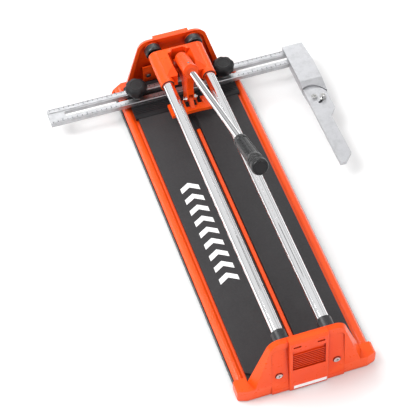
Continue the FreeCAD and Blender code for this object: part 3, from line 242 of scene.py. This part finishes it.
def finish_node(name, slot_name):
    """Give a CAD node its material and rounded edges."""
    node = nodes[name]
    node.data.materials.clear()
    node.data.materials.append(LOOKS[slot_name])
    node.data.polygons.foreach_set("use_smooth", [True] * len(node.data.polygons))
    modifier = node.modifiers.new("edge", "BEVEL")
    modifier.width = EDGE_ROUND.get(slot_name, EDGE_ROUND_OTHER)
    modifier.segments = 3
    modifier.limit_method = "ANGLE"
    modifier.angle_limit = math.radians(32)
    modifier.harden_normals = True


for part in frame["record"]["subparts"]:
    finish_node(part["node"], part["material_slot"])


# ---------------------------------------------------------- mesh building
def add_piece(name, mesh, slot_name, body, look=None):
    """Link a new piece, give it its material and let it ride on its body."""
    piece = bpy.data.objects.new(name, mesh)
    bpy.context.scene.collection.objects.link(piece)
    mesh.materials.append(look or LOOKS[slot_name])
    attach(piece, body)
    return piece


def turned(name, profile, around, radius_at):
    """Closed lathe mesh; radius_at(angle, along, radius) shapes each point."""
    points = []
    faces = []
    for along, radius in profile:
        for step in range(around):
            angle = 2 * math.pi * step / around
            reach = radius_at(angle, along, radius)
            points.append((reach * math.cos(angle), reach * math.sin(angle), along))
    rows = len(profile)
    for row in range(rows - 1):
        for step in range(around):
            following = (step + 1) % around
            faces.append((row * around + step, row * around + following,
                          (row + 1) * around + following, (row + 1) * around + step))
    faces.append(tuple(reversed(range(around))))
    faces.append(tuple(range((rows - 1) * around, rows * around)))
    mesh = bpy.data.meshes.new(name)
    mesh.from_pydata(points, [], faces)
    mesh.polygons.foreach_set("use_smooth", [len(face) == 4 for face in faces])
    return mesh


CURVE_STEPS = 4


def rounded(corners, radius):
    """A profile whose corners are replaced by small curves."""
    result = [corners[0]]
    for before, corner, after in zip(corners, corners[1:], corners[2:]):
        here = Vector(corner)
        back = Vector(before) - here
        ahead = Vector(after) - here
        reach = min(radius, back.length * 0.45, ahead.length * 0.45)
        start = here + back.normalized() * reach
        end = here + ahead.normalized() * reach
        for step in range(CURVE_STEPS + 1):
            t = step / CURVE_STEPS
            spot = start * (1 - t) ** 2 + here * (2 * t * (1 - t)) + end * t ** 2
            result.append((spot.x, spot.y))
    result.append(corners[-1])
    return result


def divided(profile, longest):
    """The same profile with no stretch along the axis over longest."""
    result = []
    for before, after in zip(profile, profile[1:]):
        count = max(1, int(abs(after[0] - before[0]) / longest))
        for i in range(count):
            result.append((before[0] + (after[0] - before[0]) * i / count,
                           before[1] + (after[1] - before[1]) * i / count))
    return result + [profile[-1]]


def rise(width, value):
    """0 below 0, 1 above width, with an even rise between."""
    t = min(1.0, max(0.0, value / width))
    return t * t * (3 - 2 * t)


# ------------------------------------------------------------------ knobs
KNOB_LOBES = 8
KNOB_DIP = 1.5 * MM
KNOB_FLANGE = 13.5 * MM
KNOB_NECK = 11.2 * MM
KNOB_CORE = 4 * MM
KNOB_ROUND = 2.2 * MM
KNOB_HEAD_SHARE = 0.38


def clamp_knob(side):
    """Drum knob with shallow lobes over a round neck."""
    low, high = (Vector(corner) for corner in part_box(f"{side}_knob"))
    middle = (low + high) / 2
    full = (high.x - low.x) / 2
    height = high.z - low.z
    head = KNOB_HEAD_SHARE * height
    dish = height - 1 * MM
    profile = rounded([
        (0, KNOB_CORE), (0, KNOB_FLANGE), (0.10 * height, KNOB_FLANGE),
        (0.13 * height, KNOB_NECK), (head - 0.8 * MM, KNOB_NECK), (head, 0.75 * full),
        (head + 2 * MM, full), (height - 5.5 * MM, full), (height - 1.2 * MM, 0.86 * full),
        (height - 0.4 * MM, 0.55 * full), (dish, 0.50 * full), (dish, 2 * MM)], KNOB_ROUND)

    def lobed(angle, along, radius):
        share = rise(4 * MM, along - head + 1 * MM) * rise(0.4 * full, radius - 0.55 * full)
        return radius - KNOB_DIP * share * (0.5 - 0.5 * math.cos(KNOB_LOBES * angle))

    mesh = turned(f"{side}_knob_drum", profile, 128, lobed)
    mesh.transform(Matrix.Translation((middle.x, middle.y, low.z)))
    piece = add_piece(f"{side}_knob_drum", mesh, "black_plastic", f"{side}_clamp")
    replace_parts(piece, f"{side}_knob")


for side in ("left", "right"):
    clamp_knob(side)

# ------------------------------------------------------------------- grip
HANDLE_PITCH = math.radians(20.6)
OUTWARD = Vector((0, -math.cos(HANDLE_PITCH), math.sin(HANDLE_PITCH)))
CAP_REACH = 112.2 * MM        # from the grip's start to the middle of its end cap
GRIP_PANELS = 6
PANEL_DEPTH = 1.6 * MM
PANEL_START = 10 * MM
PANEL_END = 78 * MM
PANEL_ENDS = 4 * MM           # length over which a panel sinks
PANEL_SIDES = 0.09            # the same at its sides, as a share of the panel's pitch
PANEL_HALF = 0.40             # half of the panel's width, in the same share
GRIP_SOLID = 11.9 * MM        # nothing inside this radius is shaped

# Distance along the grip and radius, in mm: tube end, body, collar, rings, end disc.
GRIP_PROFILE = [
    (0, 7.2), (0, 10.6), (2.2, 12.6), (10, 13.2), (78, 13.6),
    (82, 14.6), (88, 15), (89, 14.1), (92, 14.1), (93, 15.3), (96, 15.3),
    (97, 14.3), (100, 14.3), (101, 15.6), (110, 16),
    (113.2, 14.8), (114, 13.2), (114, 11.8), (112.6, 11.2)]
GRIP_CENTRE = (112.6 * MM, 4 * MM)
GRIP_ROUND = 1.2 * MM


def grip_frame():
    """Matrix from the lathe's Z axis to the handle's axis, at the grip's start."""
    low, high = (Vector(corner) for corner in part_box("grip_end_cap"))
    start = (low + high) / 2 - OUTWARD * CAP_REACH
    turn = OUTWARD.to_track_quat("Z", "X").to_matrix().to_4x4()
    return Matrix.Translation(start) @ turn


def handle_grip():
    """Moulded grip: long sunk panels, three rings and a rimmed end disc."""
    corners = [(along * MM, radius * MM) for along, radius in GRIP_PROFILE]
    profile = divided(rounded(corners, GRIP_ROUND), GRIP_ROUND) + [GRIP_CENTRE]

    def panelled(angle, along, radius):
        if radius < GRIP_SOLID:
            return radius
        turn = (angle * GRIP_PANELS / (2 * math.pi)) % 1.0
        across = rise(PANEL_SIDES, PANEL_HALF - abs(turn - 0.5))
        length = rise(PANEL_ENDS, along - PANEL_START) * rise(PANEL_ENDS, PANEL_END - along)
        return radius - PANEL_DEPTH * across * length

    mesh = turned("grip_moulding", profile, 192, panelled)
    mesh.transform(grip_frame())
    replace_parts(add_piece("grip_moulding", mesh, "grip_rubber", "lever"), "handle_grip")


handle_grip()


# -------------------------------------------------------- marks and print
def flat_shape(bm, outline, height, thick):
    """Thin plate with the given outline, its underside at height."""
    lower = [bm.verts.new((x, y, height)) for x, y in outline]
    upper = [bm.verts.new((x, y, height + thick)) for x, y in outline]
    bm.faces.new(upper)
    bm.faces.new(list(reversed(lower)))
    count = len(outline)
    for i in range(count):
        j = (i + 1) % count
        bm.faces.new((lower[i], lower[j], upper[j], upper[i]))


def mesh_of(bm, name):
    """Turn a bmesh into a mesh, with its normals outward."""
    bmesh.ops.recalc_face_normals(bm, faces=bm.faces)
    mesh = bpy.data.meshes.new(name)
    bm.to_mesh(mesh)
    bm.free()
    return mesh


CHEVRONS = 9
CHEVRON_FIRST = 76 * MM
CHEVRON_PITCH = 28.5 * MM
CHEVRON_STROKE = 12 * MM
CHEVRON_RISE = 11 * MM
PRINT_LEFT = 22 * MM                   # from the pad's outer edge
PRINT_RIGHT = 40 * MM                  # from its inner edge
PRINT_SUNK = 0.05 * MM
PRINT_THICK = 0.2 * MM


def pad_print():
    """A row of plain chevrons along the left pad, in place of lettering."""
    low, high = (Vector(corner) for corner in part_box("left_pad"))
    left = low.x + PRINT_LEFT
    right = high.x - PRINT_RIGHT
    middle = (left + right) / 2
    bm = bmesh.new()
    for number in range(CHEVRONS):
        top = CHEVRON_FIRST - CHEVRON_PITCH * number
        foot = top - CHEVRON_STROKE
        outline = [(left, top), (middle, top + CHEVRON_RISE), (right, top),
                   (right, foot), (middle, foot + CHEVRON_RISE), (left, foot)]
        flat_shape(bm, outline, high.z - PRINT_SUNK, PRINT_THICK)
    add_piece("pad_chevrons", mesh_of(bm, "pad_chevrons"), "white_label", "base")


def number_mark(bm, text, x, y, z, size):
    """Number laid flat on the ruler, read from the user's side."""
    curve = bpy.data.curves.new("number", "FONT")
    curve.body = text
    curve.size = size
    curve.align_x = "CENTER"
    curve.extrude = FIGURE_HALF_THICK
    holder = bpy.data.objects.new("number", curve)
    bpy.context.scene.collection.objects.link(holder)
    mesh = bpy.data.meshes.new_from_object(holder)
    mesh.transform(Matrix.Translation((x, y, z + FIGURE_LIFT)))
    bm.from_mesh(mesh)
    bpy.data.objects.remove(holder)
    bpy.data.curves.remove(curve)
    bpy.data.meshes.remove(mesh)


TICK_STEP = 2.5 * MM
TICKS_PER_CM = 4
TICKS_PER_NUMBER = 20
TICK_SHORT = (0.4 * MM, 3.0 * MM)      # half width, length
TICK_LONG = (0.7 * MM, 4.7 * MM)
TICK_THICK = 0.1 * MM
FIGURE_SIZE = 4.2 * MM
FIGURE_HALF_THICK = 0.05 * MM
FIGURE_LIFT = 0.06 * MM                # from the underside of the ticks to the middle of a figure
FIGURE_FRONT = 5.2 * MM                # from the front row's foot up to its figures
FIGURE_BACK = 8.2 * MM                 # from the back row's foot down to its figures
KNOB_PLACE = 92 * MM
KNOB_COVERS = 23 * MM
STOP_MARGIN = 2 * MM
EDGE_MARGIN = 1.2 * MM
SCALE_START = 4 * MM
SCALE_SUNK = 0.04 * MM
NO_FIGURE = 20 * MM                    # no figures this close to the cutting line


def ruler_marks():
    """Scale along both edges of the ruler, zero over the cutting line."""
    low, high = (Vector(corner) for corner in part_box("ruler_bar"))
    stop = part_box("side_stop_head")[0][0] - STOP_MARGIN
    top = high.z - SCALE_SUNK
    first = int((low.x + SCALE_START) / TICK_STEP) * TICK_STEP
    count = int((stop - first) / TICK_STEP)
    bm = bmesh.new()
    for base, way in ((low.y + EDGE_MARGIN, 1), (high.y - EDGE_MARGIN, -1)):
        for number in range(count + 1):
            x = first + number * TICK_STEP
            if abs(abs(x) - KNOB_PLACE) < KNOB_COVERS:
                continue
            index = round(x / TICK_STEP)
            half, length = TICK_SHORT if index % TICKS_PER_CM else TICK_LONG
            front, back = sorted((base, base + way * length))
            flat_shape(bm, [(x - half, front), (x + half, front), (x + half, back),
                            (x - half, back)], top, TICK_THICK)
            if index % TICKS_PER_NUMBER == 0 and abs(x) > NO_FIGURE:
                line = base + FIGURE_FRONT if way > 0 else base - FIGURE_BACK
                number_mark(bm, str(abs(round(x * 100))), x, line, top, FIGURE_SIZE)
    add_piece("ruler_scale", mesh_of(bm, "ruler_scale"), "ruler_aluminium", "ruler", INK_LOOK)


pad_print()
ruler_marks()

# ------------------------------------------------------------ floor, light
FLOOR_HALF = 12
WORLD_STRENGTH = 0.82

# Upward part of the direction and grey: dim below and at the horizon, bright above.
HEIGHT_GREYS = ((0.0, 0.30), (0.10, 0.42), (0.24, 0.95), (1.0, 1.0))
# Sideways part and grey: two narrow dark strips on the right, for the chrome to mirror.
STRIP_GREYS = ((0.40, 1.0), (0.43, 0.12), (0.47, 0.9), (0.50, 1.0), (0.53, 0.25), (0.56, 1.0))

# Name, place, what it looks at, size and watts.
LIGHTS = (
    ("key", (-1.7, 0.5, 2.4), (0, 0, 0), (1.4, 1.8), 62),
    ("fill", (1.2, -2.6, 1.7), (0, -0.2, 0), (1.6, 1.2), 18),
    ("back", (0.3, 2.6, 1.6), (0, 0, 0), (2.0, 0.7), 26),
)


def pale_floor():
    edge = FLOOR_HALF
    mesh = bpy.data.meshes.new("floor")
    mesh.from_pydata([(-edge, -edge, 0), (edge, -edge, 0), (edge, edge, 0), (-edge, edge, 0)],
                     [], [(0, 1, 2, 3)])
    floor = bpy.data.objects.new("floor", mesh)
    bpy.context.scene.collection.objects.link(floor)
    look = Nodes("floor_pale")
    look.set(Base_Color=FLOOR_WHITE, Roughness=0.95)
    mesh.materials.append(look.material)


def studio_world():
    """White surround that darkens to the horizon, with two narrow dark strips."""
    world = bpy.data.worlds.new("studio")
    world.use_nodes = True
    tree = world.node_tree
    place = tree.nodes.new("ShaderNodeTexCoord").outputs["Generated"]
    split = tree.nodes.new("ShaderNodeSeparateXYZ")
    tree.links.new(place, split.inputs[0])

    def ramp(source, stops):
        node = tree.nodes.new("ShaderNodeValToRGB")
        tree.links.new(source, node.inputs["Fac"])
        items = node.color_ramp.elements
        while len(items) < len(stops):
            items.new(0.5)
        for item, (position, grey) in zip(items, stops):
            item.position = position
            item.color = (grey, grey, grey, 1)
        return node.outputs["Color"]

    mix = tree.nodes.new("ShaderNodeMix")
    mix.data_type = "RGBA"
    mix.blend_type = "MULTIPLY"
    mix.inputs["Factor"].default_value = 1.0
    tree.links.new(ramp(split.outputs["Z"], HEIGHT_GREYS), mix.inputs[6])
    tree.links.new(ramp(split.outputs["X"], STRIP_GREYS), mix.inputs[7])
    background = tree.nodes["Background"]
    tree.links.new(mix.outputs[2], background.inputs["Color"])
    background.inputs["Strength"].default_value = WORLD_STRENGTH
    bpy.context.scene.world = world


def area_light(name, spot, aim, size, watts):
    data = bpy.data.lights.new(name, "AREA")
    data.shape = "RECTANGLE"
    data.size, data.size_y = size
    data.energy = watts
    lamp = bpy.data.objects.new(name, data)
    lamp.location = spot
    lamp.rotation_euler = (Vector(aim) - Vector(spot)).to_track_quat("-Z", "Y").to_euler()
    bpy.context.scene.collection.objects.link(lamp)


pale_floor()
studio_world()
for light in LIGHTS:
    area_light(*light)
bpy.context.scene.view_settings.view_transform = "Standard"

# ------------------------------------------------------------------ camera
AZIMUTH = math.radians(-17.84)
ELEVATION = math.radians(51.13)
ROLL = math.radians(-1.085)
DISTANCE = 3.1005
AIM = Vector((-0.0388, 0.0397, 0.0))
LENS = 138.8


def place_camera():
    """Camera on the sphere round its aim, rolled about its own axis."""
    data = bpy.data.cameras.new("camera")
    data.lens = LENS
    data.sensor_width = 36
    data.clip_end = 50
    camera = bpy.data.objects.new("camera", data)
    backward = Vector((math.sin(AZIMUTH) * math.cos(ELEVATION),
                       -math.cos(AZIMUTH) * math.cos(ELEVATION), math.sin(ELEVATION)))
    level = Vector((math.cos(AZIMUTH), math.sin(AZIMUTH), 0))
    upward = backward.cross(level)
    right = level * math.cos(ROLL) + upward * math.sin(ROLL)
    over = upward * math.cos(ROLL) - level * math.sin(ROLL)
    turn = Matrix((right, over, backward)).transposed().to_4x4()
    camera.matrix_world = Matrix.Translation(AIM + backward * DISTANCE) @ turn
    bpy.context.scene.collection.objects.link(camera)
    bpy.context.scene.camera = camera


place_camera()
